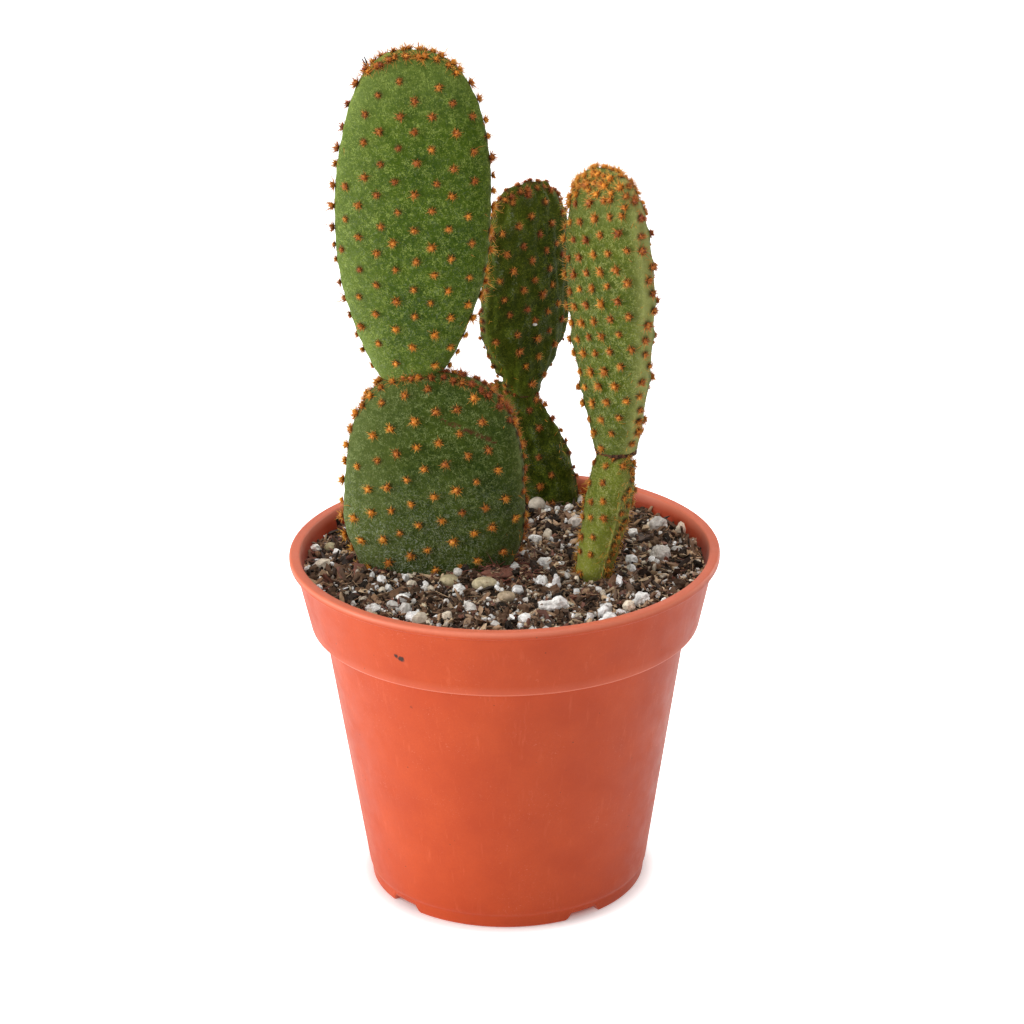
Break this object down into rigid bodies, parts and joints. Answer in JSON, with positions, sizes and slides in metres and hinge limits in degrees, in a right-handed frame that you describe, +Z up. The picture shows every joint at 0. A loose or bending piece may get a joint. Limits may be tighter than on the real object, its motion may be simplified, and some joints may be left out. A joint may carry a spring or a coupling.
{
  "type": "potted paddle cactus",
  "caption": "Potted cactus: three stacks of two flat oval pads set with tufts of short bristles, in gritty soil in a tapered plastic nursery pot.",
  "frame": {"origin": "middle of the pot's underside, on the surface that it stands on", "axes": "+Z up along the pot's axis; -Y is the best side, with the tall pad at the left; +X to the right of that view"},
  "size_m": [0.105, 0.105, 0.2104],
  "materials": {
    "terracotta_plastic": "satin",
    "soil": "matte",
    "green_skin": "matte",
    "pebble": "satin",
    "perlite": "matte",
    "pumice": "matte",
    "bark": "matte"
  },
  "bodies": {
    "root": {"nursery_pot": "terracotta_plastic", "potting_soil": "soil", "front_left_lower_pad": "green_skin", "front_left_upper_pad": "green_skin", "right_lower_pad": "green_skin", "right_upper_pad": "green_skin", "back_lower_pad": "green_skin", "back_upper_pad": "green_skin", "bark_1": "bark", "pebble_1": "pebble", "pebble_2": "pebble", "pebble_3": "pebble", "pebble_4": "pebble", "pebble_5": "pebble", "perlite_1": "perlite", "perlite_10": "perlite", "perlite_11": "perlite", "perlite_12": "perlite", "perlite_2": "perlite", "perlite_3": "perlite", "perlite_4": "perlite", "perlite_5": "perlite", "perlite_6": "perlite", "perlite_7": "perlite", "perlite_8": "perlite", "perlite_9": "perlite", "pumice_1": "pumice", "pumice_2": "pumice", "pumice_3": "pumice"}
  },
  "joints": []
}
